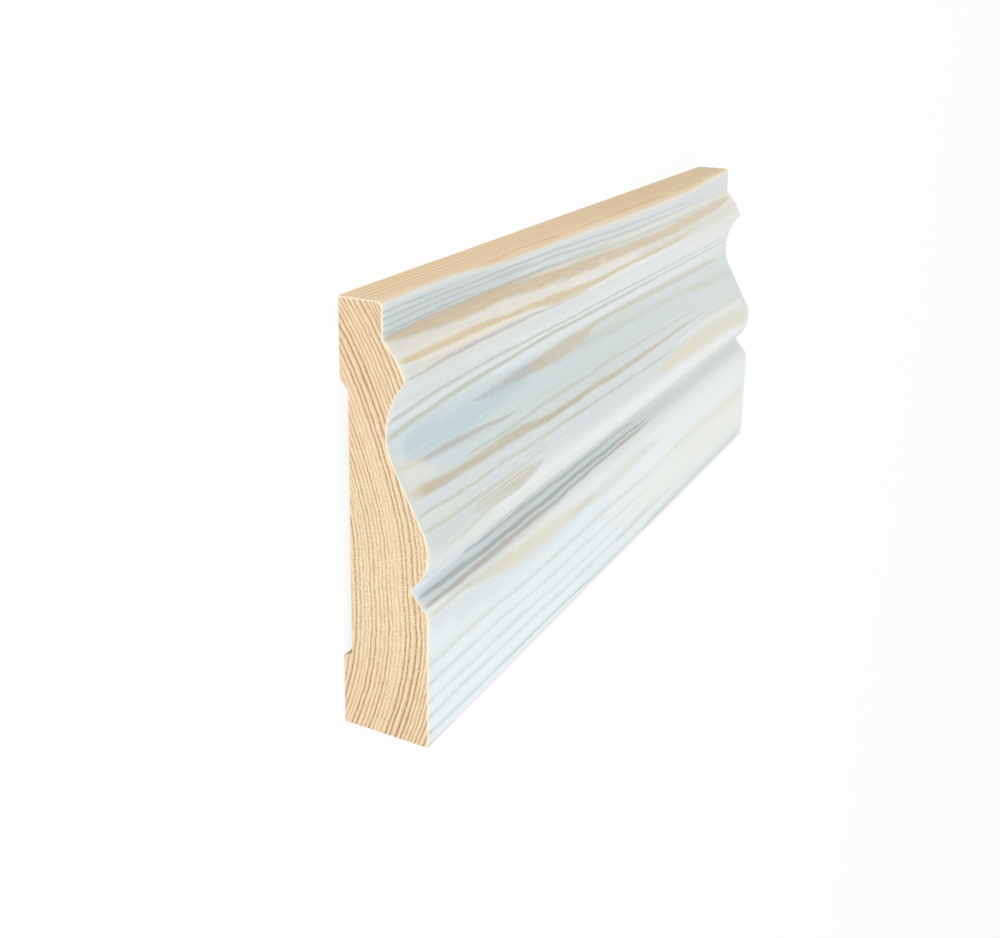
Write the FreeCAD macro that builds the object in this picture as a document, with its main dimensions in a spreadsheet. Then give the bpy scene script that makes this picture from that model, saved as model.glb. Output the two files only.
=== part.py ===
import FreeCAD, Part
import math
import os

import Sketcher

# A short length of skirting board, machined from one piece of softwood.
# It lies on its back: X runs along the board, Y up the board's face from
# the floor edge to the top edge, and Z from the wall out through the face.
# Depths are measured from the plane of the back out to the face. The moulding
# hangs from the top edge, one feature under the next, and the plain band at
# the foot takes what is left. All sizes are in millimetres.

doc = FreeCAD.newDocument("skirting")

# Sizes

sheet = doc.addObject("Spreadsheet::Sheet", "sizes")
sizes = [
    ("board_length", 220.0),
    ("board_height", 95.0),
    ("board_thickness", 21.0),
    # thin flat at the top of the face
    ("flat_width", 7.8),
    ("flat_depth", 10.5),
    ("top_arris_radius", 1.3),
    # ramp from the flat out to a blunt nose
    ("ramp_drop", 7.5),
    ("ramp_radius", 20.0),
    ("nose_radius", 1.1),
    # hollow under the nose, tightest at its lower end
    ("hollow_drop", 12.4),
    ("hollow_depth", 11.2),
    ("hollow_upper_radius", 18.5),
    ("hollow_lower_radius", 12.0),
    # the round that stands out as far as the plain band
    ("round_drop", 23.7),
    ("round_radius", 10.0),
    # sunk groove between the round and the plain band
    ("plinth_drop", 13.5),
    ("quirk_slope", 40.0),
    ("quirk_radius", 0.9),
    # plain band at the foot of the face
    ("foot_arris_radius", 0.6),
    # shallow channel along the back, so that the board bears on two lands
    ("relief_depth", 2.0),
    ("lower_land_height", 15.9),
    ("lower_step_run", 1.0),
    ("upper_land_height", 17.0),
    ("upper_step_run", 2.4),
]
for row, (name, value) in enumerate(sizes, start=1):
    sheet.set("A" + str(row), name)
    sheet.set("B" + str(row), str(value))
    sheet.setAlias("B" + str(row), name)
doc.recompute()


def size(name):
    return float(sheet.get(name))


# The board's body and the plane across it

body = doc.addObject("PartDesign::Body", "skirting_board")
body.Label = "skirting_board"
body.Placement = FreeCAD.Placement()


def cross_plane(owner):
    for feature in owner.Origin.OriginFeatures:
        if feature.Role == "YZ_Plane":
            return feature
    raise RuntimeError("the body has no YZ plane")


def point(height_up, depth):
    """Point of the section: the board is centred on its own height."""
    return FreeCAD.Vector(height_up - size("board_height") / 2, depth, 0)


def arc(centre, radius, start, end):
    """Arc that turns anticlockwise about its centre from one point to another."""
    first = math.atan2(start.y - centre.y, start.x - centre.x)
    last = math.atan2(end.y - centre.y, end.x - centre.x)
    circle = Part.Circle(centre, FreeCAD.Vector(0, 0, 1), radius)
    return Part.ArcOfCircle(circle, first, last)


def towards(start, end, distance):
    """Point at a distance from the first point on the way to the second."""
    way = end - start
    return start + way * (distance / way.Length)


# Where the curves of the face meet, worked out so that the sketch starts solved

height = size("board_height")
thickness = size("board_thickness")
flat_height = height - size("flat_width")
nose_height = flat_height - size("ramp_drop")
hollow_height = nose_height - size("hollow_drop")
round_height = hollow_height - size("round_drop")
plinth_height = round_height - size("plinth_drop")

foot_back = point(0, 0)
foot_front = point(0, thickness - size("foot_arris_radius"))
foot_centre = point(size("foot_arris_radius"), thickness - size("foot_arris_radius"))
plinth_foot = point(size("foot_arris_radius"), thickness)
plinth_top = point(plinth_height, thickness)

round_radius = size("round_radius")
round_centre = point(round_height, thickness - round_radius)

# The groove's curve touches its sloping side and the round
quirk_radius = size("quirk_radius")
slope = math.radians(size("quirk_slope"))
down_slope = FreeCAD.Vector(math.cos(slope), -math.sin(slope), 0)
off_slope = FreeCAD.Vector(math.sin(slope), math.cos(slope), 0)
from_round = plinth_top + off_slope * quirk_radius - round_centre
half_sum = from_round.dot(down_slope)
reach = half_sum**2 - from_round.dot(from_round) + (round_radius + quirk_radius) ** 2
slope_length = -half_sum - math.sqrt(reach)
quirk_start = plinth_top + down_slope * slope_length
quirk_centre = quirk_start + off_slope * quirk_radius
quirk_end = towards(round_centre, quirk_centre, round_radius)

# The straight run crosses from the round to the lower part of the hollow
lower_radius = size("hollow_lower_radius")
upper_radius = size("hollow_upper_radius")
hollow_floor = point(hollow_height, size("hollow_depth"))
lower_centre = hollow_floor + FreeCAD.Vector(0, lower_radius, 0)
upper_centre = hollow_floor + FreeCAD.Vector(0, upper_radius, 0)
between = lower_centre - round_centre
lean = math.asin((round_radius + lower_radius) / between.Length)
lean = lean - math.atan2(between.y, between.x)
off_run = FreeCAD.Vector(math.sin(lean), math.cos(lean), 0)
run_start = round_centre + off_run * round_radius
run_end = lower_centre - off_run * lower_radius

# The nose touches the hollow from behind and lies inside the ramp's curve
nose_radius = size("nose_radius")
nose_back = math.sqrt((upper_radius + nose_radius) ** 2 - size("hollow_drop") ** 2)
nose_centre = upper_centre + FreeCAD.Vector(size("hollow_drop"), -nose_back, 0)
nose_start = towards(nose_centre, upper_centre, nose_radius)

ramp_radius = size("ramp_radius")
flat_foot = point(flat_height, size("flat_depth"))
across = flat_foot - nose_centre
inner = ramp_radius - nose_radius
along = (across.Length**2 + inner**2 - ramp_radius**2) / (2 * across.Length)
aside = math.sqrt(inner**2 - along**2)
forward = across * (1 / across.Length)
inward = FreeCAD.Vector(forward.y, -forward.x, 0)
ramp_centre = nose_centre + forward * along + inward * aside
nose_end = towards(ramp_centre, nose_centre, ramp_radius)

top_radius = size("top_arris_radius")
flat_top = point(height - top_radius, size("flat_depth"))
top_centre = point(height - top_radius, size("flat_depth") - top_radius)
top_front = point(height, size("flat_depth") - top_radius)
top_back = point(height, 0)

# Outline of the board's end, before the back is relieved

outline = body.newObject("Sketcher::SketchObject", "outline")
outline.AttachmentSupport = (cross_plane(body), [""])
outline.MapMode = "FlatFace"


def add(sketch, shape):
    return sketch.addGeometry(shape, False)


foot = add(outline, Part.LineSegment(foot_back, foot_front))
foot_arris = add(outline, arc(foot_centre, size("foot_arris_radius"), plinth_foot, foot_front))
plinth = add(outline, Part.LineSegment(plinth_foot, plinth_top))
quirk_side = add(outline, Part.LineSegment(plinth_top, quirk_start))
quirk = add(outline, arc(quirk_centre, quirk_radius, quirk_start, quirk_end))
torus = add(outline, arc(round_centre, round_radius, run_start, quirk_end))
run = add(outline, Part.LineSegment(run_start, run_end))
lower_hollow = add(outline, arc(lower_centre, lower_radius, run_end, hollow_floor))
upper_hollow = add(outline, arc(upper_centre, upper_radius, hollow_floor, nose_start))
nose = add(outline, arc(nose_centre, nose_radius, nose_end, nose_start))
ramp = add(outline, arc(ramp_centre, ramp_radius, flat_foot, nose_end))
flat = add(outline, Part.LineSegment(flat_foot, flat_top))
top_arris = add(outline, arc(top_centre, top_radius, top_front, flat_top))
top_edge = add(outline, Part.LineSegment(top_front, top_back))
back = add(outline, Part.LineSegment(top_back, foot_back))

START = 1
END = 2
CENTRE = 3
ORIGIN = (-1, 1)
AXIS = -1


def join(sketch, kind, first, first_end, second, second_end):
    sketch.addConstraint(Sketcher.Constraint(kind, first, first_end, second, second_end))


join(outline, "Tangent", foot, END, foot_arris, END)
join(outline, "Tangent", foot_arris, START, plinth, START)
join(outline, "Coincident", plinth, END, quirk_side, START)
join(outline, "Tangent", quirk_side, END, quirk, START)
join(outline, "Tangent", quirk, END, torus, END)
join(outline, "Tangent", torus, START, run, START)
join(outline, "Tangent", run, END, lower_hollow, START)
join(outline, "Tangent", lower_hollow, END, upper_hollow, START)
join(outline, "Tangent", upper_hollow, END, nose, END)
join(outline, "Tangent", nose, START, ramp, END)
join(outline, "Coincident", ramp, START, flat, START)
join(outline, "Tangent", flat, END, top_arris, END)
join(outline, "Tangent", top_arris, START, top_edge, START)
join(outline, "Coincident", top_edge, END, back, START)
join(outline, "Coincident", back, END, foot, START)

for upright in (foot, top_edge):
    outline.addConstraint(Sketcher.Constraint("Vertical", upright))
for level in (plinth, flat):
    outline.addConstraint(Sketcher.Constraint("Horizontal", level))
outline.addConstraint(Sketcher.Constraint("PointOnObject", back, START, AXIS))
outline.addConstraint(Sketcher.Constraint("PointOnObject", back, END, AXIS))
# the floor of the hollow lies straight behind the centre of its lower curve
outline.addConstraint(Sketcher.Constraint("Vertical", lower_hollow, CENTRE, lower_hollow, END))


def measure(sketch, name, kind, items, value, formula):
    """Adds one dimension under its own name and ties it to the sheet."""
    index = sketch.addConstraint(Sketcher.Constraint(kind, *items, value))
    sketch.renameConstraint(index, name)
    sketch.setExpression("Constraints." + name, formula)


def radius(name, which):
    measure(outline, name, "Radius", (which,), size(name), "sizes." + name)


radius("foot_arris_radius", foot_arris)
radius("quirk_radius", quirk)
radius("round_radius", torus)
radius("hollow_lower_radius", lower_hollow)
radius("hollow_upper_radius", upper_hollow)
radius("nose_radius", nose)
radius("ramp_radius", ramp)
radius("top_arris_radius", top_arris)


def drop(name, lower, lower_end, upper, upper_end):
    """Distance down the face from one point of the section to the next."""
    items = (lower, lower_end, upper, upper_end)
    measure(outline, name, "DistanceX", items, size(name), "sizes." + name)


drop("board_height", foot, START, top_edge, START)
drop("flat_width", flat, START, top_edge, START)
drop("ramp_drop", nose, CENTRE, flat, START)
drop("hollow_drop", lower_hollow, END, nose, CENTRE)
drop("round_drop", torus, CENTRE, lower_hollow, END)
drop("plinth_drop", plinth, END, torus, CENTRE)
measure(
    outline, "half_height", "DistanceX", (foot, START, *ORIGIN),
    height / 2, "sizes.board_height / 2",
)


def out_from_back(name, which, end, value, formula):
    """Depth of a point in front of the back plane."""
    measure(outline, name, "DistanceY", (*ORIGIN, which, end), value, formula)


out_from_back("board_thickness", plinth, END, thickness, "sizes.board_thickness")
out_from_back("hollow_depth", lower_hollow, END, size("hollow_depth"), "sizes.hollow_depth")
out_from_back("flat_depth", flat, START, size("flat_depth"), "sizes.flat_depth")
out_from_back(
    "round_centre_depth", torus, CENTRE,
    thickness - round_radius, "sizes.board_thickness - sizes.round_radius",
)
measure(
    outline, "quirk_slope", "Angle", (plinth, START, quirk_side, START),
    -slope, "-1 deg * sizes.quirk_slope",
)
doc.recompute()
print("free directions left in the outline:", outline.solve(), outline.DoF)

board = body.newObject("PartDesign::Pad", "board")
board.Profile = outline
board.SideType = "Symmetric"
board.setExpression("Length", "sizes.board_length")
doc.recompute()
whole_volume = body.Shape.Volume

# Shallow channel along the back: nearly square at its lower side, sloped at its upper

relief = body.newObject("Sketcher::SketchObject", "relief")
relief.AttachmentSupport = (cross_plane(body), [""])
relief.MapMode = "FlatFace"

relief_depth = size("relief_depth")
lower_land = size("lower_land_height")
upper_land = height - size("upper_land_height")
corners = [
    point(lower_land, 0),
    point(lower_land + size("lower_step_run"), relief_depth),
    point(upper_land - size("upper_step_run"), relief_depth),
    point(upper_land, 0),
]
lower_step = add(relief, Part.LineSegment(corners[0], corners[1]))
channel_floor = add(relief, Part.LineSegment(corners[1], corners[2]))
upper_step = add(relief, Part.LineSegment(corners[2], corners[3]))
mouth = add(relief, Part.LineSegment(corners[3], corners[0]))
join(relief, "Coincident", lower_step, END, channel_floor, START)
join(relief, "Coincident", channel_floor, END, upper_step, START)
join(relief, "Coincident", upper_step, END, mouth, START)
join(relief, "Coincident", mouth, END, lower_step, START)
relief.addConstraint(Sketcher.Constraint("Horizontal", channel_floor))
relief.addConstraint(Sketcher.Constraint("PointOnObject", mouth, START, AXIS))
relief.addConstraint(Sketcher.Constraint("PointOnObject", mouth, END, AXIS))
measure(
    relief, "lower_land", "DistanceX", (lower_step, START, *ORIGIN),
    -corners[0].x, "sizes.board_height / 2 - sizes.lower_land_height",
)
measure(
    relief, "upper_land", "DistanceX", (*ORIGIN, mouth, START),
    corners[3].x, "sizes.board_height / 2 - sizes.upper_land_height",
)
measure(
    relief, "lower_step_run", "DistanceX", (lower_step, START, lower_step, END),
    size("lower_step_run"), "sizes.lower_step_run",
)
measure(
    relief, "upper_step_run", "DistanceX", (upper_step, START, upper_step, END),
    size("upper_step_run"), "sizes.upper_step_run",
)
measure(
    relief, "relief_depth", "DistanceY", (*ORIGIN, channel_floor, START),
    relief_depth, "sizes.relief_depth",
)
doc.recompute()
print("free directions left in the relief:", relief.solve(), relief.DoF)

channel = body.newObject("PartDesign::Pocket", "channel")
channel.Profile = relief
channel.SideType = "Symmetric"
channel.Type = "Length"
channel.setExpression("Length", "sizes.board_length * 2")
body.Tip = channel
doc.recompute()

# Checks before the shape is written

for item in doc.Objects:
    for word in ("Invalid", "Error"):
        if word in item.State:
            raise RuntimeError(item.Name + " failed: " + str(item.State))

shape = body.Shape
if shape.isNull() or not shape.isValid() or len(shape.Solids) != 1:
    raise RuntimeError("the board isn't one valid solid")

channel_run = upper_land - lower_land
channel_run = channel_run - (size("lower_step_run") + size("upper_step_run")) / 2
channel_volume = channel_run * relief_depth * size("board_length")
cut_volume = whole_volume - shape.Volume
if abs(cut_volume - channel_volume) > 0.001 * channel_volume:
    raise RuntimeError("the channel took away the wrong volume")

box = shape.BoundBox
print("box", box.XMin, box.XMax, box.YMin, box.YMax, box.ZMin, box.ZMax)
print("volume", shape.Volume, "faces", len(shape.Faces))

os.makedirs("parts", exist_ok=True)
shape.exportStep("parts/" + body.Label + ".step")
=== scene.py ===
import math

import bpy
import numpy as np
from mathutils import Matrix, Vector


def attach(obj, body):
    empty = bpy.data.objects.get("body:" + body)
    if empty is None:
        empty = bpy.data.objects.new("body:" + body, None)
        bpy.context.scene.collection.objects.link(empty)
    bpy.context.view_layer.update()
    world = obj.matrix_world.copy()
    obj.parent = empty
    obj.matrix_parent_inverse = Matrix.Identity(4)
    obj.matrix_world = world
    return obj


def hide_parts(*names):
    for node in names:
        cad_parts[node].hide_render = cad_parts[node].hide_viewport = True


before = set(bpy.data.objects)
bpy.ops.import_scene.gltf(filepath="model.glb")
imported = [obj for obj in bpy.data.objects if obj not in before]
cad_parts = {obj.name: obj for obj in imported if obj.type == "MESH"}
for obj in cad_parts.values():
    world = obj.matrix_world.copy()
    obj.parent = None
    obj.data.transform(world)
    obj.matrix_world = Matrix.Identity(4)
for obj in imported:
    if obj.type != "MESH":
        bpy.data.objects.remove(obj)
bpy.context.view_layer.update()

# Sizes of the board, in millimetres, as the solid has them

LENGTH = 220.0
HEIGHT = 95.0
THICKNESS = 21.0

FLAT_WIDTH = 7.8
FLAT_DEPTH = 10.5
TOP_ARRIS = 1.3
RAMP_DROP = 7.5
RAMP_RADIUS = 20.0
NOSE_RADIUS = 1.1
HOLLOW_DROP = 12.4
HOLLOW_DEPTH = 11.2
HOLLOW_UPPER = 18.5
HOLLOW_LOWER = 12.0
ROUND_DROP = 23.7
ROUND_RADIUS = 10.0
PLINTH_DROP = 13.5
QUIRK_SLOPE = math.radians(40.0)
QUIRK_RADIUS = 0.9
FOOT_ARRIS = 0.6

RELIEF_DEPTH = 2.0
LOWER_LAND = 15.9
LOWER_STEP = 1.0
UPPER_LAND = 17.0
UPPER_STEP = 2.4

# Spacing of the mesh, in millimetres

CURVE_STEP = 0.36
FINE_STEP = CURVE_STEP * 1.3
PLAIN_STEP = 0.6
LEAST_ARC_STEPS = 6
LENGTH_STEP = 2.1
DEPTH_STEPS = 48
END_CHAMFER = 0.3
SHARP_ANGLE = math.radians(28.0)
MM_PER_METRE = 1000.0

# Depth of the relief that planing and sawing leave, in millimetres

GRAIN_RELIEF = 0.035
END_RELIEF = 0.03
SAW_RELIEF = 0.012
# the saw's marks bow about a line in front of the face: how much, that line's depth, radians per mm
SAW_BOW, SAW_MIDDLE, SAW_PITCH = 0.004, 40.0, 3.1


# The moulded face, from the foot arris up to the top edge: points are (height, depth)

def point(height, depth):
    return Vector((height, depth))


def towards(start, end, distance):
    return start + (end - start).normalized() * distance


def arc(centre, start, end):
    """Points from start to end round a centre, the short way."""
    first, last = start - centre, end - centre
    turn = math.atan2(first.x * last.y - first.y * last.x, first.dot(last))
    count = max(LEAST_ARC_STEPS, math.ceil(abs(turn) * first.length / CURVE_STEP))
    points = []
    for i in range(count + 1):
        angle = turn * i / count
        cosine, sine = math.cos(angle), math.sin(angle)
        turned = (first.x * cosine - first.y * sine, first.x * sine + first.y * cosine)
        points.append(centre + Vector(turned))
    return points


def line(start, end, step):
    count = max(1, math.ceil((end - start).length / step))
    return [start.lerp(end, i / count) for i in range(count + 1)]


FLAT_HEIGHT = HEIGHT - FLAT_WIDTH
HOLLOW_HEIGHT = FLAT_HEIGHT - RAMP_DROP - HOLLOW_DROP
ROUND_HEIGHT = HOLLOW_HEIGHT - ROUND_DROP
PLINTH_HEIGHT = ROUND_HEIGHT - PLINTH_DROP

PLINTH_TOP = point(PLINTH_HEIGHT, THICKNESS)
ROUND_CENTRE = point(ROUND_HEIGHT, THICKNESS - ROUND_RADIUS)
HOLLOW_FLOOR = point(HOLLOW_HEIGHT, HOLLOW_DEPTH)
FLAT_FOOT = point(FLAT_HEIGHT, FLAT_DEPTH)


def foot():
    """A small arris, then the plain plinth."""
    centre = point(FOOT_ARRIS, THICKNESS - FOOT_ARRIS)
    start = point(0, THICKNESS - FOOT_ARRIS)
    end = point(FOOT_ARRIS, THICKNESS)
    return [arc(centre, start, end), line(end, PLINTH_TOP, PLAIN_STEP)]


def groove():
    """A sloped side and a small round floor, with the point where they meet the big round."""
    down = Vector((math.cos(QUIRK_SLOPE), -math.sin(QUIRK_SLOPE)))
    off = Vector((math.sin(QUIRK_SLOPE), math.cos(QUIRK_SLOPE)))
    gap = PLINTH_TOP + off * QUIRK_RADIUS - ROUND_CENTRE
    half = gap.dot(down)
    reach = half**2 - gap.dot(gap) + (ROUND_RADIUS + QUIRK_RADIUS) ** 2
    start = PLINTH_TOP + down * (-half - math.sqrt(reach))
    centre = start + off * QUIRK_RADIUS
    end = towards(ROUND_CENTRE, centre, ROUND_RADIUS)
    return [line(PLINTH_TOP, start, CURVE_STEP), arc(centre, start, end)], end


def round_and_run(start):
    """The big round, the straight run and the lower part of the hollow, each tangent to the next."""
    centre = HOLLOW_FLOOR + Vector((0, HOLLOW_LOWER))
    between = centre - ROUND_CENTRE
    lean = math.asin((ROUND_RADIUS + HOLLOW_LOWER) / between.length)
    lean -= math.atan2(between.y, between.x)
    off = Vector((math.sin(lean), math.cos(lean)))
    run_start = ROUND_CENTRE + off * ROUND_RADIUS
    run_end = centre - off * HOLLOW_LOWER
    return [
        arc(ROUND_CENTRE, start, run_start),
        line(run_start, run_end, FINE_STEP),
        arc(centre, run_end, HOLLOW_FLOOR),
    ]


def nose_and_ramp():
    """The upper part of the hollow, the small nose, and the long ramp up to the flat."""
    hollow_centre = HOLLOW_FLOOR + Vector((0, HOLLOW_UPPER))
    back = math.sqrt((HOLLOW_UPPER + NOSE_RADIUS) ** 2 - HOLLOW_DROP**2)
    nose_centre = hollow_centre + Vector((HOLLOW_DROP, -back))
    nose_start = towards(nose_centre, hollow_centre, NOSE_RADIUS)
    across = FLAT_FOOT - nose_centre
    inner = RAMP_RADIUS - NOSE_RADIUS
    along = (across.length**2 + inner**2 - RAMP_RADIUS**2) / (2 * across.length)
    forward = across.normalized()
    inward = Vector((forward.y, -forward.x))
    ramp_centre = nose_centre + forward * along + inward * math.sqrt(inner**2 - along**2)
    nose_end = towards(ramp_centre, nose_centre, RAMP_RADIUS)
    return [
        arc(hollow_centre, HOLLOW_FLOOR, nose_start),
        arc(nose_centre, nose_start, nose_end),
        arc(ramp_centre, nose_end, FLAT_FOOT),
    ]


def flat_and_arris():
    """The flat at the top, and the arris above it."""
    centre = point(HEIGHT - TOP_ARRIS, FLAT_DEPTH - TOP_ARRIS)
    flat_top = point(HEIGHT - TOP_ARRIS, FLAT_DEPTH)
    end = point(HEIGHT, FLAT_DEPTH - TOP_ARRIS)
    return [line(FLAT_FOOT, flat_top, FINE_STEP), arc(centre, flat_top, end)]


def face_outline():
    groove_lines, round_start = groove()
    pieces = foot() + groove_lines + round_and_run(round_start) + nose_and_ramp() + flat_and_arris()
    outline = [pieces[0][0]]
    for piece in pieces:
        outline += piece[1:]
    return np.array([(p.x, p.y) for p in outline])


# The back, with its shallow channel

BACK_HEIGHTS = (
    0.0, LOWER_LAND, LOWER_LAND + LOWER_STEP,
    HEIGHT - UPPER_LAND - UPPER_STEP, HEIGHT - UPPER_LAND, HEIGHT,
)
BACK_DEPTHS = (0.0, 0.0, RELIEF_DEPTH, RELIEF_DEPTH, 0.0, 0.0)

face = face_outline()
for corner in BACK_HEIGHTS[1:-1]:
    # the face gets a point level with each corner of the back
    at = int(np.searchsorted(face[:, 0], corner))
    depth = np.interp(corner, face[at - 1:at + 1, 0], face[at - 1:at + 1, 1])
    face = np.insert(face, at, (corner, depth), axis=0)
heights = face[:, 0]
front = face[:, 1]
rear = np.interp(heights, BACK_HEIGHTS, BACK_DEPTHS)


# Growth rings
# A ring is a surface that runs the length of the board. Its number is the depth at
# which it crosses the board a third of the way up, and the lists below say how far
# it lies from there at other heights. The same lists drive the relief in the mesh
# and the colours in the materials.

MIDDLE_DEPTH = 9.0
RING_HEIGHTS = tuple(range(0, 96, 5))
# how far the rings have moved back towards the wall
RING_BEND = tuple(zip(RING_HEIGHTS, (
    5.13, 3.35, 1.79, 0.68, -0.03, -0.34, -0.24, 0.18, 0.42, 0.73,
    1.54, 3.04, 4.63, 6.29, 8.06, 9.87, 11.83, 13.89, 16.25, 18.83)))
# how much closer together they lie, and how that changes from back to face
RING_CROWD = tuple(zip(RING_HEIGHTS, (
    -0.031, -0.016, -0.007, -0.017, -0.014, -0.013, 0.001, 0.031, 0.036, 0.028,
    0.02, 0.009, -0.023, -0.065, -0.099, -0.116, -0.125, -0.144, -0.184, -0.232)))
# how much they bow, as seen BOW_SPAN millimetres before or behind the middle
BOW_SPAN = 10.0
RING_BOW = tuple(zip(RING_HEIGHTS, (
    0.28, 0.115, 0.11, 0.1, 0.05, -0.03, -0.018, -0.05, -0.105, -0.183,
    -0.241, -0.245, -0.203, -0.133, -0.057, 0.004, 0.042, 0.058, 0.063, 0.062)))
# below the nose they come forward again away from the near end: (size, height, width, length)
HOLLOW_FALL = (1.9, 69.0, 13.0, 50.0)
# along the plinth they sink towards the foot: (height, number per mm of length)
PLINTH_FALL = (
    (0.0, 0.0075), (4.0, 0.006), (7.0, 0.0026), (20.0, 0.003), (25.0, 0.003), (45.0, 0.0), (95.0, 0.0),
)
# small waves: (size, radians per mm along the board, up the face and through it, phase)
WAVES = (
    (0.06, 0.077, 0.2, 0.0, 0.0), (0.05, 0.032, -0.32, 0.0, 1.7), (0.03, 0.17, 0.43, 0.2, 0.9),
    (0.03, 0.11, 0.95, -0.6, 2.0), (0.02, 0.27, -1.6, 0.9, 0.3),
)
# the rings themselves: (number, how dark the summer wood is)
RINGS = (
    (-1.0, 0.6), (0.2, 0.6), (1.15, 0.65), (2.2, 0.65), (3.4, 1.0), (4.5, 0.65), (5.5, 0.5),
    (6.25, 0.4), (7.15, 0.9), (8.2, 0.85), (9.4, 0.55), (10.3, 0.6), (11.3, 0.9), (12.25, 0.5),
    (13.15, 0.35), (14.1, 0.45), (15.4, 0.95), (16.35, 0.95), (17.9, 1.0), (19.1, 1.0), (20.0, 0.6),
    (20.95, 0.65), (21.7, 0.65), (22.7, 0.7), (23.6, 0.75), (24.85, 0.85), (25.95, 0.8), (26.6, 0.75),
    (27.25, 0.75), (27.9, 0.75), (28.5, 0.7), (29.2, 0.7), (30.0, 0.7),
)
# how many rings lie below a number, and where in a year's growth the count starts
RING_COUNT = tuple((number, float(index)) for index, (number, _) in enumerate(RINGS))
RING_LAG = 0.1
# how dark one year's wood is, from the pale spring wood to the dark summer wood
RING_PROFILE = (
    (0.0, 0.45), (0.08, 0.08), (0.25, 0.0), (0.48, 0.12), (0.66, 0.45), (0.8, 0.88), (0.9, 1.0),
    (0.96, 0.92), (1.0, 0.45),
)


def ring_number(x, height, depth):
    """Which ring lies at a point. x is from the near end."""
    side = depth - MIDDLE_DEPTH
    number = depth + np.interp(height, *zip(*RING_BEND)) + side * np.interp(height, *zip(*RING_CROWD))
    number = number + (side / BOW_SPAN) ** 2 * np.interp(height, *zip(*RING_BOW))
    fall, middle, width, length = HOLLOW_FALL
    number = number - fall * np.exp(-(((height - middle) / width) ** 2)) * (1 - np.exp(-x / length))
    number = number - x * np.interp(height, *zip(*PLINTH_FALL))
    for size, along, up, through, phase in WAVES:
        number = number - size * np.sin(x * along + height * up + depth * through + phase)
    return number


def summer_wood(x, height, depth):
    """How much of the dark summer wood lies at a point, from 0 to 1."""
    number = ring_number(x, height, depth)
    count = np.interp(number, *zip(*RING_COUNT)) - RING_LAG
    dark = np.interp(count - np.floor(count), *zip(*RING_PROFILE))
    return dark * np.interp(number, *zip(*RINGS))


# The board's mesh: a loop of points round the section carried along the length,
# closed at each end by a grid of the whole section.

ROWS = len(heights)
COLUMNS = DEPTH_STEPS + 1


def section_grid(inset):
    """Points of the section, row by row up the board, drawn in from the outline by inset."""
    up = inset + heights * (HEIGHT - 2 * inset) / HEIGHT
    low = rear + inset
    high = front - inset
    share = np.linspace(0.0, 1.0, COLUMNS)
    depth = low[:, None] + (high - low)[:, None] * share
    return np.stack([np.repeat(up[:, None], COLUMNS, axis=1), depth], axis=-1)


def loop_indices():
    """The section grid's outer points in order: up the face, over the top, down the back, under."""
    loop = [(i, COLUMNS - 1) for i in range(ROWS)]
    loop += [(ROWS - 1, j) for j in range(COLUMNS - 2, -1, -1)]
    loop += [(i, 0) for i in range(ROWS - 2, -1, -1)]
    loop += [(0, j) for j in range(1, COLUMNS - 1)]
    return np.array(loop)


loop = loop_indices()
PERIMETER = len(loop)
STEPS_ALONG = round((LENGTH - 2 * END_CHAMFER) / LENGTH_STEP)


def outward(ring):
    """Outward direction at each point of the loop."""
    ahead = np.roll(ring, -1, axis=0) - np.roll(ring, 1, axis=0)
    out = np.stack([-ahead[:, 1], ahead[:, 0]], axis=1)
    return out / np.maximum(np.linalg.norm(out, axis=1, keepdims=True), 1e-9)


def side_points():
    """The loop at each station along the board, with the summer wood standing proud."""
    outline = section_grid(0.0)[loop[:, 0], loop[:, 1]]
    out = outward(outline)
    points = []
    for x in np.linspace(END_CHAMFER, LENGTH - END_CHAMFER, STEPS_ALONG + 1):
        pale = 1.0 - summer_wood(x, outline[:, 0], outline[:, 1])
        ring = outline - out * (GRAIN_RELIEF * pale)[:, None]
        points.append(np.column_stack([np.full(PERIMETER, x), ring]))
    return points


def end_points(x, direction):
    """A sawn end: the summer wood stands a little proud, and the saw leaves faint bowed marks."""
    grid = section_grid(END_CHAMFER)
    up, depth = grid[..., 0], grid[..., 1]
    sunk = END_RELIEF * (1.0 - summer_wood(x, up, depth))
    sunk = sunk + SAW_RELIEF * (1.0 + np.sin((up + SAW_BOW * (depth - SAW_MIDDLE) ** 2) * SAW_PITCH))
    return np.stack([x + direction * sunk, up, depth], axis=-1).reshape(-1, 3)


END_GRAIN, LONG_GRAIN, RIM = 0, 1, 2


def side_faces():
    for station in range(STEPS_ALONG):
        here, ahead = station * PERIMETER, (station + 1) * PERIMETER
        for at in range(PERIMETER):
            after = (at + 1) % PERIMETER
            yield (here + at, ahead + at, ahead + after, here + after), LONG_GRAIN


def end_faces(near, far):
    """The squares of both end grids, which start at the vertices near and far."""
    for i in range(ROWS - 1):
        for j in range(COLUMNS - 1):
            low = i * COLUMNS + j
            high = low + COLUMNS
            yield (near + low, near + low + 1, near + high + 1, near + high), END_GRAIN
            yield (far + low, far + high, far + high + 1, far + low + 1), END_GRAIN


def rim_faces(near, far):
    """The narrow rims that join both ends to the sides."""
    edge = (loop[:, 0] * COLUMNS + loop[:, 1]).tolist()
    last = STEPS_ALONG * PERIMETER
    for at in range(PERIMETER):
        after = (at + 1) % PERIMETER
        yield (near + edge[at], at, after, near + edge[after]), RIM
        yield (far + edge[after], last + after, last + at, far + edge[at]), RIM


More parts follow.
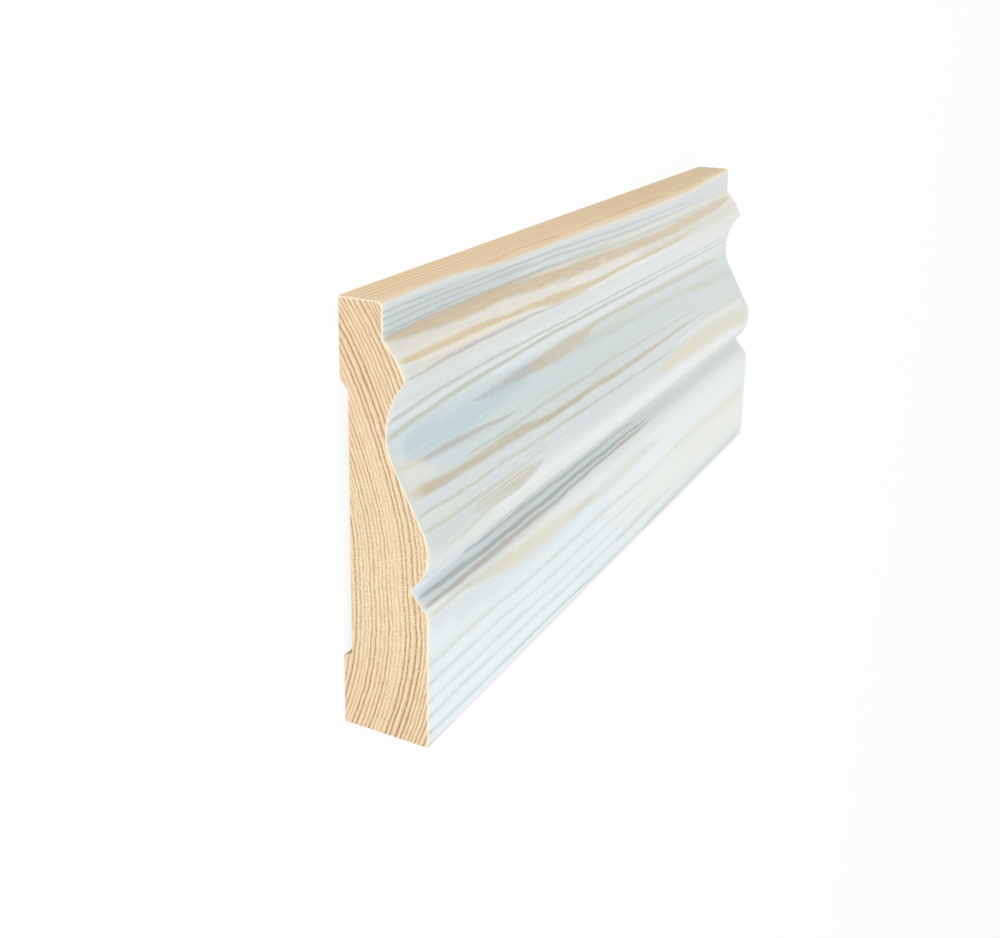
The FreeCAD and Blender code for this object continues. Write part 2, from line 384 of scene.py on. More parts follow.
def make_board():
    points = np.concatenate([*side_points(), end_points(0.0, 1.0), end_points(LENGTH, -1.0)])
    near = (STEPS_ALONG + 1) * PERIMETER
    far = near + ROWS * COLUMNS
    faces = [*side_faces(), *end_faces(near, far), *rim_faces(near, far)]
    # millimetres about the near end, the foot and the back become metres about the part's origin
    positions = (points - (LENGTH / 2, HEIGHT / 2, 0.0)) / MM_PER_METRE
    mesh = bpy.data.meshes.new("skirting_board_dressed")
    mesh.from_pydata(positions.tolist(), [], [corners for corners, _ in faces])
    mesh.polygons.foreach_set("material_index", [finish for _, finish in faces])
    mesh.polygons.foreach_set("use_smooth", [True] * len(faces))
    mesh.update()
    mesh.set_sharp_from_angle(angle=SHARP_ANGLE)
    board = bpy.data.objects.new("skirting_board_dressed", mesh)
    bpy.context.scene.collection.objects.link(board)
    return board


board = make_board()


# Materials

def linear(red, green, blue):
    """A colour given as a screen shows it, 0 to 255, made linear for the shaders."""
    channels = []
    for value in (red, green, blue):
        value /= 255.0
        channels.append(value / 12.92 if value <= 0.04045 else ((value + 0.055) / 1.055) ** 2.4)
    return (*channels, 1.0)


# room that a curve's handles get below and above its points
CURVE_MARGIN = 0.2


class Maker:
    """Shorthand for building a node tree."""

    def __init__(self, tree):
        self.tree = tree

    def node(self, kind, **settings):
        made = self.tree.nodes.new(kind)
        for name, value in settings.items():
            setattr(made, name, value)
        return made

    def feed(self, socket, value):
        if isinstance(value, bpy.types.NodeSocket):
            self.tree.links.new(value, socket)
        else:
            socket.default_value = value

    def math(self, operation, *values, clamp=False):
        made = self.node("ShaderNodeMath", operation=operation, use_clamp=clamp)
        for socket, value in zip(made.inputs, values):
            self.feed(socket, value)
        return made.outputs[0]

    def add(self, *values):
        total = values[0]
        for value in values[1:]:
            total = self.math("ADD", total, value)
        return total

    def times(self, *values):
        product = values[0]
        for value in values[1:]:
            product = self.math("MULTIPLY", product, value)
        return product

    def less(self, whole, part):
        return self.math("SUBTRACT", whole, part)

    def bell(self, value, middle, width):
        """1 at the middle, falling to nothing a few widths away."""
        part = self.math("DIVIDE", self.less(value, middle), width)
        return self.math("EXPONENT", self.times(part, part, -1.0))

    def rise(self, value, start, end):
        """0 before start, 1 after end, smooth between."""
        made = self.node("ShaderNodeMapRange", interpolation_type="SMOOTHSTEP")
        for name, item in (("Value", value), ("From Min", start), ("From Max", end)):
            self.feed(made.inputs[name], item)
        return made.outputs[0]

    def curve(self, value, points, handle="VECTOR"):
        """Runs through a list of points: straight, as numpy.interp does, or rounded."""
        low, high = points[0][0], points[-1][0]
        bottom = min(y for _, y in points) - CURVE_MARGIN
        top = max(y for _, y in points) + CURVE_MARGIN
        made = self.node("ShaderNodeFloatCurve")
        line = made.mapping.curves[0]
        for index, (x, y) in enumerate(points):
            spot = ((x - low) / (high - low), (y - bottom) / (top - bottom))
            if index in (0, len(points) - 1):
                line.points[0 if index == 0 else -1].location = spot
            else:
                line.points.new(*spot)
        for spot in line.points:
            spot.handle_type = handle
        made.mapping.update()
        share = self.math("DIVIDE", self.less(value, low), high - low, clamp=True)
        self.feed(made.inputs["Value"], share)
        return self.add(self.times(made.outputs[0], top - bottom), bottom)

    def ramp(self, value, stops, low=0.0, high=1.0):
        """Colour ramp over a range: stops are (place, colour)."""
        made = self.node("ShaderNodeValToRGB")
        made.color_ramp.interpolation = "LINEAR"
        elements = made.color_ramp.elements
        while len(elements) > 1:
            elements.remove(elements[-1])
        for index, (place, colour) in enumerate(stops):
            spot = (place - low) / (high - low)
            if index == 0:
                elements[0].position = spot
                elements[0].color = colour
            else:
                elements.new(spot).color = colour
        share = self.math("DIVIDE", self.less(value, low), high - low, clamp=True)
        self.feed(made.inputs["Fac"], share)
        return made

    def noise(self, vector, scale, detail=2.0, roughness=0.5):
        made = self.node("ShaderNodeTexNoise")
        self.feed(made.inputs["Vector"], vector)
        for name, item in (("Scale", scale), ("Detail", detail), ("Roughness", roughness)):
            self.feed(made.inputs[name], item)
        return made.outputs["Fac"]

    def vector(self, x, y, z):
        made = self.node("ShaderNodeCombineXYZ")
        for socket, item in zip(made.inputs, (x, y, z)):
            self.feed(socket, item)
        return made.outputs[0]

    def blend(self, share, under, over):
        made = self.node("ShaderNodeMix", data_type="RGBA")
        self.feed(made.inputs["Factor"], share)
        colours = [s for s in made.inputs if s.type == "RGBA"]
        self.feed(colours[0], under)
        self.feed(colours[1], over)
        return [s for s in made.outputs if s.type == "RGBA"][0]


def number_nodes(make, x, height, depth):
    """The same as ring_number, in nodes."""
    side = make.less(depth, MIDDLE_DEPTH)
    crowd = make.times(side, make.curve(height, RING_CROWD))
    number = make.add(depth, make.curve(height, RING_BEND), crowd)
    number = make.add(number, make.times(side, side, 1 / BOW_SPAN**2, make.curve(height, RING_BOW)))
    fall, middle, width, length = HOLLOW_FALL
    gone = make.less(1.0, make.math("EXPONENT", make.math("DIVIDE", x, -length)))
    number = make.less(number, make.times(make.bell(height, middle, width), gone, fall))
    number = make.less(number, make.times(x, make.curve(height, PLINTH_FALL)))
    for size, along, up, through, phase in WAVES:
        angle = make.add(make.times(x, along), make.times(height, up), make.times(depth, through), phase)
        number = make.less(number, make.times(make.math("SINE", angle), size))
    return number


def make_rings():
    """Node group: place in the board in millimetres, the summer wood there and the ring's number."""
    group = bpy.data.node_groups.new("growth_rings", "ShaderNodeTree")
    make = Maker(group)
    split = make.node("ShaderNodeSeparateXYZ")
    make.feed(split.inputs[0], make.node("ShaderNodeTexCoord").outputs["Object"])
    x = make.add(make.times(split.outputs[0], MM_PER_METRE), LENGTH / 2)
    height = make.add(make.times(split.outputs[1], MM_PER_METRE), HEIGHT / 2)
    depth = make.times(split.outputs[2], MM_PER_METRE)
    number = number_nodes(make, x, height, depth)
    year = make.math("FRACT", make.less(make.curve(number, RING_COUNT), RING_LAG))
    dark = make.times(make.curve(year, RING_PROFILE), make.curve(number, RINGS))
    results = {"Along": x, "Height": height, "Depth": depth, "Summer": dark, "Number": number}
    for name in results:
        group.interface.new_socket(name, in_out="OUTPUT", socket_type="NodeSocketFloat")
    output = make.node("NodeGroupOutput")
    for name, item in results.items():
        make.feed(output.inputs[name], item)
    return group


rings = make_rings()


class Wood(Maker):
    """A wood material: its shader, and where in the board each point of it lies."""

    def __init__(self, name):
        self.material = bpy.data.materials.new(name)
        self.material.use_nodes = True
        self.material.node_tree.nodes.clear()
        super().__init__(self.material.node_tree)
        self.shader = self.node("ShaderNodeBsdfPrincipled")
        output = self.node("ShaderNodeOutputMaterial")
        self.feed(output.inputs["Surface"], self.shader.outputs[0])
        place = self.node("ShaderNodeGroup", node_tree=rings).outputs
        self.x, self.height, self.depth = place["Along"], place["Height"], place["Depth"]
        self.dark, self.number = place["Summer"], place["Number"]

    def finish(self, colour, roughness, gloss):
        self.feed(self.shader.inputs["Base Color"], colour)
        self.feed(self.shader.inputs["Roughness"], roughness)
        self.feed(self.shader.inputs["Specular IOR Level"], gloss)

    def relief(self, height, strength, distance):
        bump = self.node("ShaderNodeBump")
        self.feed(bump.inputs["Strength"], strength)
        self.feed(bump.inputs["Distance"], distance)
        self.feed(bump.inputs["Height"], height)
        self.feed(self.shader.inputs["Normal"], bump.outputs[0])


# Sawn end: pale spring wood, brown summer wood, fine bright flecks across the rings

# from the palest wood to the darkest, for darkness from 0 to END_DARKEST
END_TONES = (
    (0.0, linear(255, 238, 211)), (0.3, linear(243, 218, 184)), (0.6, linear(228, 200, 163)),
    (0.95, linear(205, 174, 134)), (1.3, linear(178, 142, 103)),
)
END_DARKEST = 1.35
# even pale wood starts this far up the tones
END_GROUND = 0.3
END_FLECK = linear(255, 243, 212)
# (height, width) of two parts of the end: the saw tore the middle, and the rings are darkest at the foot
TORN_PART = (36.0, 30.0)
FOOT_PART = (4.0, 16.0)


def end_darkness(wood, torn_part):
    """The rings, unevenly dark from place to place, with fine lines that follow them and a fine grit."""
    place = wood.vector(wood.x, wood.height, wood.depth)
    thread_place = wood.vector(wood.times(wood.number, 3.4), wood.times(wood.height, 0.3), wood.x)
    thread = wood.noise(thread_place, scale=1.0, detail=3.0, roughness=0.6)
    grit = wood.noise(place, scale=3.4, detail=2.0, roughness=0.6)
    patch = wood.noise(place, scale=0.25, detail=2.0)
    foot_part = wood.bell(wood.height, *FOOT_PART)
    strength = wood.add(
        0.75, wood.times(patch, 0.5), wood.times(torn_part, -0.1), wood.times(foot_part, 0.3),
    )
    gritty = wood.add(0.8, wood.times(torn_part, 1.2))
    uneven = wood.add(wood.times(wood.less(thread, 0.5), 1.2), wood.times(wood.less(grit, 0.5), gritty))
    return wood.add(wood.times(wood.dark, strength), uneven, END_GROUND)


def make_end_grain():
    wood = Wood("pine_end_grain")
    torn_part = wood.bell(wood.height, *TORN_PART)
    colour = wood.ramp(end_darkness(wood, torn_part), END_TONES, 0.0, END_DARKEST).outputs["Color"]
    torn_place = wood.vector(wood.x, wood.times(wood.height, 2.4), wood.times(wood.depth, 3.6))
    torn = wood.noise(torn_place, scale=1.0, detail=2.0, roughness=0.65)
    bright = wood.times(wood.rise(torn, 0.56, 0.64), wood.add(0.15, wood.times(torn_part, 0.85)))
    wood.finish(wood.blend(bright, colour, END_FLECK), roughness=0.62, gloss=0.25)
    wood.relief(wood.add(wood.dark, wood.times(torn, 0.8)), strength=0.25, distance=0.0002)
    return wood.material


# Rim of the cut: a pale line along the edge of the end, a painted highlight

RIM_HIGHLIGHT_TONES = ((0.0, linear(255, 241, 219)), (1.0, linear(236, 211, 174)))


def make_rim():
    wood = Wood("pine_rim_painted_highlight")
    place = wood.vector(wood.x, wood.height, wood.depth)
    grit = wood.noise(place, scale=1.3, detail=3.0, roughness=0.6)
    rim_grain = wood.add(wood.times(wood.dark, 0.5), wood.times(grit, 0.5))
    wood.finish(wood.ramp(rim_grain, RIM_HIGHLIGHT_TONES).outputs["Color"], roughness=0.7, gloss=0.2)
    return wood.material


# Planed sides: the stain covers the moulded face and stops on the arrises

STAIN_WHITE = linear(232, 241, 243)
STAIN_MILK = linear(233, 236, 233)
# painted shade on the foot arris, which turns down
FOOT_ARRIS_PAINTED_SHADE = linear(206, 208, 213)
STAIN_CREAM = linear(233, 228, 218)
STAIN_WARM = linear(240, 241, 232)
# darker and greenish blue in the hollow
STAIN_HOLLOW = linear(209, 220, 220)
STAIN_BLUE = linear(184, 204, 213)
# painted shade in the groove
GROOVE_PAINTED_SHADE = linear(201, 210, 213)
STAIN_ICE = linear(236, 247, 253)
STAIN_MIST = linear(229, 234, 236)
STAIN_ASH = linear(188, 197, 195)
STAIN_CROWN = linear(236, 241, 239)
# painted shade: the band from the groove up under the round, which faces down
GROUND_PAINTED_SHADE = linear(220, 225, 224)
# painted shade in the groove, far part
FAR_GROOVE_PAINTED_SHADE = linear(204, 209, 208)
# painted shade under the round
UNDER_ROUND_PAINTED_SHADE = linear(216, 223, 217)
# painted light under the round at the near end
NEAR_END_PAINTED_LIGHT = linear(228, 241, 250)
STAIN_FLAT = linear(217, 224, 225)
WOOD_TAN = linear(208, 186, 153)
WOOD_YELLOW = linear(214, 196, 156)
WOOD_DUN = linear(198, 187, 165)
WOOD_OLIVE = linear(202, 197, 178)
WOOD_KHAKI = linear(201, 202, 186)
WOOD_MOSS = linear(194, 197, 182)
WOOD_SAGE = linear(199, 206, 196)
WOOD_SAND = linear(209, 212, 195)
WOOD_LIME = linear(226, 227, 205)
WOOD_BEIGE = linear(221, 216, 193)
WOOD_FAWN = linear(217, 216, 206)
WOOD_TAUPE = linear(185, 181, 170)
WOOD_STONE = linear(183, 184, 180)
WOOD_LEAD = linear(171, 176, 172)
WOOD_SLATE = linear(176, 186, 188)
WOOD_GREY = linear(200, 204, 193)
WOOD_FINE = linear(186, 192, 190)
WOOD_CREAM = linear(242, 232, 212)
FIBRE_WHITE = linear(247, 249, 245)
FIBRE_GREY = linear(206, 212, 207)
WOOD_PALE = linear(232, 209, 175)

# what the stain looks like up the face, without the grain; the dark foot arris and the darker band from the
# groove up under the round are painted shade
GROUND = (
    (0.0, FOOT_ARRIS_PAINTED_SHADE), (0.9, STAIN_WHITE), (26.0, STAIN_WHITE), (30.4, STAIN_MILK), (32.0, GROUND_PAINTED_SHADE),
    (37.6, GROUND_PAINTED_SHADE), (40.2, STAIN_CROWN), (43.5, STAIN_CROWN), (46.5, STAIN_FLAT),
    (51.0, STAIN_FLAT), (57.0, STAIN_HOLLOW), (67.0, STAIN_HOLLOW), (71.0, STAIN_MIST), (79.0, STAIN_MILK),
    (80.2, STAIN_MILK), (83.6, STAIN_CREAM), (87.0, STAIN_CREAM), (87.5, STAIN_FLAT),
    (93.4, STAIN_FLAT), (94.4, STAIN_MILK),
)
# colour of the rings that show through it
RING_TINT = (
    (0.0, WOOD_GREY), (29.0, WOOD_GREY), (34.5, WOOD_SLATE), (38.0, WOOD_SLATE), (42.0, WOOD_BEIGE),
    (50.0, WOOD_OLIVE), (70.0, WOOD_OLIVE), (73.5, WOOD_FINE), (80.0, WOOD_FINE), (84.0, WOOD_YELLOW),
    (87.3, WOOD_YELLOW), (87.8, WOOD_SLATE), (94.0, WOOD_SLATE),
)
# how strongly the rings show, by height
RING_SHOW = (
    (0.0, 1.7), (18.0, 1.7), (23.0, 0.5), (29.0, 0.4), (31.0, 0.1), (36.5, 0.1), (42.0, 0.3),
    (50.0, 0.25), (57.0, 0.2), (65.0, 0.2), (73.5, 0.35), (79.0, 0.35), (81.0, 0.2), (86.8, 0.2),
    (87.6, 2.1), (93.5, 2.1), (94.2, 0.2),
)
# where they fade out along the board: (from, to, middle height, width, share that goes)
RING_FADES = (
    (80.0, 170.0, 10.0, 14.0, 0.85), (12.0, 30.0, 93.2, 0.8, 0.9), (28.0, 42.0, 88.9, 0.8, 0.9),
    (20.0, 90.0, 17.5, 5.0, 0.35), (55.0, 120.0, 2.5, 3.0, 0.55), (50.0, 75.0, 90.5, 4.0, 0.9),
)
# broad washes first, some of them painted light and painted shade, then the flames and lines of grain that
# show through the stain:
# colour, strength, softness, then (along, height, half width)
STREAKS = (
    (STAIN_ASH, 0.5, 1.0, ((0, 90.5, 5.5), (30, 90.5, 5.0), (50, 90.5, 2.3), (68, 90.5, 0.2))),
    (STAIN_ASH, 0.3, 1.0, ((0, 46.0, 4.0), (20, 46.5, 4.0), (40, 48.0, 3.0), (60, 49.0, 0.5))),
    (STAIN_ASH, 0.3, 1.0, ((0, 43.0, 2.8), (15, 43.0, 2.4), (32, 43.0, 0.3))),
    (STAIN_ASH, 0.2, 1.0, ((10, 25.5, 1.0), (30, 25.0, 3.5), (60, 24.5, 2.5), (80, 24.0, 0.3))),
    (STAIN_ASH, 0.6, 1.0, ((120, 1.4, 0.4), (145, 1.8, 1.6), (219, 2.4, 2.6))),
    (STAIN_MIST, 0.85, 1.0, ((44, 68.6, 0.2), (70, 68.9, 1.9), (130, 69.2, 2.4), (219, 69.2, 2.6))),
    (STAIN_ICE, 0.4, 1.0, (
        (0, 7.0, 9.0), (30, 7.0, 9.0), (60, 8.0, 8.0), (90, 9.0, 5.0), (120, 9.0, 0.3),
    )),
    (STAIN_FLAT, 0.6, 1.0, ((0, 28.0, 2.6), (14, 27.8, 2.6), (24, 27.0, 1.2), (34, 26.0, 0.2))),
    (STAIN_CREAM, 0.7, 1.0, ((0, 57.8, 4.0), (5, 57.8, 3.6), (10, 57.6, 2.0), (16, 57.4, 0.3))),
    (STAIN_ASH, 0.22, 1.0, ((0, 73.4, 1.2), (18, 73.6, 1.6), (40, 74.0, 1.0), (60, 74.0, 0.2))),
    (STAIN_CREAM, 0.35, 1.0, ((0, 50.2, 1.2), (12, 50.0, 1.1), (22, 49.8, 0.3))),
    (STAIN_WARM, 0.75, 1.0, ((100, 11.0, 0.5), (140, 11.0, 5.0), (180, 12.0, 8.0), (219, 12.0, 9.0))),
    (STAIN_WARM, 0.7, 1.0, ((150, 50.6, 0.2), (175, 50.6, 1.1), (200, 50.4, 1.2), (219, 49.8, 1.2))),
    (FIBRE_WHITE, 0.35, 1.0, ((95, 21.0, 1.0), (125, 21.0, 7.0), (160, 24.0, 5.0), (219, 25.5, 4.0))),
    (FIBRE_WHITE, 0.35, 1.0, ((70, 42.6, 0.3), (110, 42.6, 1.8), (219, 42.4, 2.0))),
    # painted light: a pale wash on the underside of the nose, which faces down
    (FIBRE_WHITE, 0.45, 1.0, ((24, 76.6, 0.4), (50, 76.8, 3.0), (100, 76.8, 3.8), (219, 76.8, 3.8))),
    (WOOD_SAND, 0.65, 1.0, ((125, 82.2, 0.2), (150, 82.0, 1.6), (195, 82.4, 2.1), (219, 83.2, 1.8))),
    (WOOD_SAND, 0.55, 1.0, (
        (120, 85.6, 0.2), (150, 85.6, 0.8), (175, 85.9, 0.9), (200, 86.2, 0.8), (219, 86.5, 0.5),
    )),
    (WOOD_MOSS, 0.4, 1.0, ((0, 81.2, 1.4), (18, 81.2, 1.4), (36, 81.1, 1.3), (60, 80.9, 0.3))),
    (STAIN_BLUE, 0.6, 1.0, (
        (4, 63.0, 0.5), (14, 63.0, 3.6), (26, 62.8, 3.8), (42, 62.8, 2.0), (66, 62.5, 0.2),
    )),
    # side above the groove: painted shade, with painted light towards the near end; then the groove: a
    # blue-grey wash of painted shade and three lines
    (NEAR_END_PAINTED_LIGHT, 0.9, 0.8, (
        (0, 36.6, 2.8), (8, 36.8, 2.4), (15, 37.0, 1.9), (24, 37.2, 0.8), (29, 37.3, 0.1),
    )),
    (STAIN_CROWN, 0.9, 0.8, ((9, 37.2, 0.5), (18, 37.2, 2.1), (26, 37.4, 1.9), (36, 37.8, 0.4))),
    (WOOD_FAWN, 0.9, 0.8, (
        (28, 36.6, 0.3), (38, 36.7, 1.3), (50, 37.0, 2.2), (62, 37.1, 2.3), (74, 36.8, 0.6),
    )),
    (UNDER_ROUND_PAINTED_SHADE, 0.85, 0.8, (
        (58, 36.6, 0.3), (70, 36.6, 1.4), (85, 36.6, 1.9), (110, 36.7, 2.1), (122, 36.8, 1.1),
        (134, 36.9, 0.2),
    )),
    (GROOVE_PAINTED_SHADE, 0.85, 0.4, (
        (0, 33.5, 0.6), (6, 33.4, 1.7), (12, 33.2, 2.0), (22, 33.1, 2.2), (50, 33.1, 2.1),
        (90, 33.7, 1.6), (118, 33.9, 1.4), (136, 34.0, 0.2),
    )),
    (FAR_GROOVE_PAINTED_SHADE, 0.95, 0.7, ((108, 33.9, 0.3), (126, 33.9, 1.4), (150, 33.8, 1.5), (219, 34.0, 1.4))),
    (WOOD_SLATE, 0.85, 0.7, (
        (20, 35.0, 0.15), (28, 35.0, 0.3), (35, 35.0, 0.4), (50, 35.0, 0.42), (70, 35.05, 0.42),
        (90, 35.0, 0.38), (110, 35.0, 0.28), (124, 34.8, 0.05),
    )),
    (WOOD_LEAD, 0.95, 0.7, (
        (0, 33.7, 0.25), (6, 33.65, 0.4), (14, 33.5, 0.5), (22, 33.35, 0.55), (40, 33.15, 0.45),
        (60, 33.3, 0.42), (85, 33.5, 0.38), (110, 33.5, 0.32), (130, 33.4, 0.05),
    )),
    (WOOD_TAUPE, 0.95, 0.7, (
        (0, 32.0, 0.35), (6, 32.0, 0.38), (22, 31.8, 0.5), (40, 32.0, 0.42), (60, 32.05, 0.38),
        (85, 32.4, 0.34), (105, 32.6, 0.3), (122, 32.7, 0.2), (132, 32.7, 0.05),
    )),
    (STAIN_WARM, 0.75, 0.8, ((0, 31.1, 0.35), (6, 31.05, 0.3), (11, 31.0, 0.1))),
    (WOOD_FAWN, 0.9, 0.8, ((0, 30.2, 0.5), (8, 30.3, 0.55), (16, 30.5, 0.5), (23, 30.6, 0.1))),
    # plinth
    (WOOD_SAND, 0.8, 0.6, (
        (13, 30.4, 0.1), (18, 29.9, 0.7), (24, 29.4, 1.3), (32, 28.9, 1.8), (41, 28.2, 1.6),
        (52, 27.6, 0.4),
    )),
    (WOOD_BEIGE, 0.68, 0.7, (
        (28, 28.4, 0.4), (38, 27.6, 2.5), (50, 27.3, 3.1), (60, 26.9, 2.6), (70, 26.4, 1.9),
        (80, 26.2, 1.2), (88, 26.0, 0.3),
    )),
    (WOOD_SAND, 0.5, 0.8, (
        (70, 25.7, 0.4), (80, 25.6, 1.3), (90, 25.6, 2.1), (100, 25.8, 2.1), (110, 26.3, 2.3),
        (122, 26.3, 1.4), (136, 25.8, 0.2),
    )),
    (WOOD_SAND, 0.4, 0.8, ((84, 18.7, 0.1), (100, 18.3, 0.6), (118, 18.1, 0.7), (134, 18.2, 0.2))),
    (WOOD_LIME, 0.8, 0.9, (
        (120, 18.2, 0.1), (142, 18.6, 0.8), (160, 18.8, 1.4), (180, 18.4, 1.9), (200, 17.9, 2.2),
        (219, 17.2, 2.3),
    )),
    # flat and ramp
    (WOOD_FINE, 0.65, 0.7, (
        (48, 91.8, 0.1), (60, 91.8, 0.35), (75, 91.65, 0.38), (100, 91.05, 0.4), (120, 90.25, 0.4),
        (145, 89.8, 0.4), (170, 89.6, 0.35), (200, 89.5, 0.1),
    )),
    (WOOD_FINE, 0.65, 0.7, (
        (48, 90.1, 0.1), (60, 90.1, 0.35), (75, 90.0, 0.42), (100, 89.1, 0.42), (120, 88.45, 0.4),
        (145, 88.0, 0.38), (170, 88.0, 0.3), (200, 88.1, 0.1),
    )),
    (WOOD_TAUPE, 0.8, 0.8, (
        (0, 87.8, 0.5), (8, 87.9, 0.5), (14, 88.15, 0.45), (28, 88.35, 0.5), (45, 88.3, 0.45),
        (70, 87.95, 0.45), (84, 87.6, 0.4),
    )),
    (WOOD_SAGE, 0.8, 0.8, (
        (72, 87.9, 0.3), (84, 87.6, 0.5), (100, 87.1, 0.6), (120, 86.5, 0.5), (145, 86.3, 0.5),
        (170, 86.2, 0.4), (190, 86.2, 0.1),
    )),
    (WOOD_TAN, 0.85, 0.5, (
        (0, 87.3, 0.3), (5, 87.25, 0.6), (14, 87.15, 1.15), (28, 87.0, 1.5), (45, 86.95, 1.45),
        (60, 86.3, 1.45), (72, 85.8, 1.35), (86, 85.35, 1.35), (100, 85.15, 1.35), (120, 84.75, 1.15),
        (145, 84.4, 1.05), (170, 84.6, 1.15), (195, 85.15, 1.05), (212, 85.8, 0.65), (219, 86.3, 0.4),
    )),
    (WOOD_CREAM, 0.6, 0.9, ((6, 82.2, 0.3), (26, 82.0, 0.7), (45, 81.9, 0.6), (62, 81.3, 0.2))),
    (WOOD_YELLOW, 0.95, 0.6, (
        (0, 83.35, 0.6), (14, 83.1, 0.65), (28, 83.05, 0.8), (45, 82.7, 0.65), (60, 82.1, 0.75),
        (70, 81.6, 1.15), (80, 81.3, 1.1), (90, 81.2, 0.8), (105, 81.2, 0.6), (120, 81.25, 0.5),
        (145, 81.35, 0.5), (165, 81.8, 0.3), (180, 82.4, 0.1),
    )),
    (WOOD_TAUPE, 0.7, 0.7, (
        (0, 79.9, 0.35), (6, 80.0, 0.42), (18, 80.5, 0.5), (32, 80.65, 0.5), (48, 80.5, 0.42),
        (62, 80.3, 0.35), (75, 80.1, 0.25), (92, 80.0, 0.05),
    )),
    # hollow
    (WOOD_MOSS, 0.9, 0.8, (
        (0, 66.9, 0.7), (6, 67.5, 0.85), (18, 68.6, 0.75), (32, 69.4, 0.8), (45, 69.95, 0.75),
        (60, 70.4, 0.6), (75, 70.75, 0.6), (105, 70.65, 0.55), (140, 70.5, 0.45), (180, 70.5, 0.35),
        (219, 70.4, 0.3),
    )),
    (WOOD_MOSS, 0.85, 0.8, (
        (0, 70.5, 0.5), (6, 70.85, 0.62), (18, 71.95, 0.62), (32, 72.45, 0.62), (50, 72.85, 0.52),
        (62, 72.7, 0.45), (75, 72.55, 0.4), (105, 72.5, 0.35), (150, 72.4, 0.3), (219, 72.3, 0.25),
    )),
    (WOOD_SLATE, 0.7, 0.8, (
        (34, 65.0, 0.1), (42, 64.8, 0.9), (50, 64.9, 1.4), (58, 65.0, 1.5), (66, 65.0, 0.8),
        (72, 65.0, 0.1),
    )),
    (WOOD_STONE, 0.75, 0.8, (
        (48, 65.0, 0.1), (56, 65.0, 1.1), (64, 65.0, 1.5), (72, 65.1, 1.6), (82, 65.3, 0.8),
        (90, 65.4, 0.1),
    )),
    (WOOD_DUN, 0.75, 0.6, (
        (62, 65.1, 0.1), (72, 64.9, 1.8), (82, 65.0, 2.0), (92, 65.3, 1.5), (102, 65.8, 0.3),
    )),
    (WOOD_OLIVE, 0.95, 0.6, (
        (72, 65.2, 0.3), (84, 65.3, 2.2), (94, 65.4, 2.3), (100, 66.0, 1.7), (108, 67.0, 0.85),
        (120, 67.0, 0.75), (130, 66.8, 0.85), (160, 66.4, 1.05), (180, 66.1, 1.0), (200, 65.8, 0.7),
        (212, 65.6, 0.2),
    )),
    (WOOD_SAND, 0.5, 1.0, ((96, 64.8, 0.4), (110, 64.6, 1.3), (128, 64.6, 0.8), (140, 64.6, 0.1))),
    (WOOD_SAGE, 0.85, 0.8, (
        (94, 63.3, 0.2), (105, 63.1, 0.9), (130, 62.5, 0.9), (160, 62.1, 0.95), (180, 61.2, 1.0),
        (192, 60.6, 0.4), (200, 60.4, 0.1),
    )),
    (WOOD_KHAKI, 0.7, 0.8, (
        (172, 61.6, 0.2), (182, 61.0, 0.8), (195, 60.3, 1.2), (208, 59.9, 1.1), (219, 59.7, 1.1),
    )),
    (WOOD_BEIGE, 0.85, 0.8, ((0, 60.4, 0.35), (6, 60.2, 0.5), (10, 60.1, 0.4), (15, 60.0, 0.1))),
    (WOOD_TAUPE, 0.8, 0.8, (
        (8, 60.1, 0.1), (15, 59.9, 0.5), (26, 59.45, 0.65), (34, 59.15, 0.5), (45, 58.5, 0.35),
        (52, 58.2, 0.1),
    )),
    (WOOD_KHAKI, 0.8, 0.7, (
        (24, 56.2, 0.1), (34, 56.2, 0.35), (45, 56.1, 0.4), (60, 56.5, 0.45), (75, 56.55, 0.55),
        (90, 56.4, 0.5), (105, 56.6, 0.5), (130, 56.4, 0.4), (160, 55.8, 0.35), (180, 55.6, 0.1),
    )),
    # straight run
    (WOOD_TAN, 0.5, 0.6, ((0, 55.3, 1.0), (4, 55.3, 1.1), (9, 55.1, 1.1), (15, 54.8, 0.5))),
    (WOOD_DUN, 0.95, 0.6, (
        (4, 55.0, 0.9), (10, 54.9, 1.0), (15, 54.6, 0.95), (30, 54.42, 1.0), (38, 54.4, 1.1),
        (46, 54.3, 1.2), (53, 54.1, 1.1), (60, 53.6, 0.9), (75, 53.3, 0.7), (90, 53.5, 0.7),
        (105, 53.25, 0.65), (130, 53.3, 0.55), (148, 53.5, 0.45), (162, 53.6, 0.3), (185, 53.6, 0.05),
    )),
    (WOOD_KHAKI, 0.9, 0.7, (
        (0, 51.6, 0.3), (5, 51.55, 0.35), (15, 51.1, 0.45), (26, 51.05, 0.45), (38, 51.05, 0.4),
        (52, 50.75, 0.4), (75, 50.5, 0.4), (100, 50.25, 0.45), (130, 50.0, 0.4), (150, 49.8, 0.1),
    )),
    (WOOD_KHAKI, 0.85, 0.7, (
        (0, 48.8, 0.3), (5, 48.6, 0.4), (15, 48.2, 0.5), (26, 48.15, 0.45), (34, 47.9, 0.3),
        (38, 47.8, 0.1),
    )),
    (WOOD_OLIVE, 0.62, 0.6, (
        (18, 46.3, 0.2), (26, 46.5, 1.5), (33, 46.5, 1.9), (38, 46.4, 2.1), (44, 46.2, 2.0),
        (49, 46.2, 1.2), (57, 46.3, 0.1),
    )),
    (WOOD_DUN, 0.35, 0.8, (
        (28, 46.5, 0.2), (34, 46.5, 1.1), (40, 46.3, 1.6), (46, 46.2, 1.0), (53, 46.3, 0.1),
    )),
    (WOOD_KHAKI, 0.7, 0.8, (
        (4, 42.9, 0.2), (14, 43.35, 0.5), (20, 43.9, 0.5), (27, 44.7, 0.45), (38, 44.4, 0.5),
        (46, 44.6, 0.1),
    )),
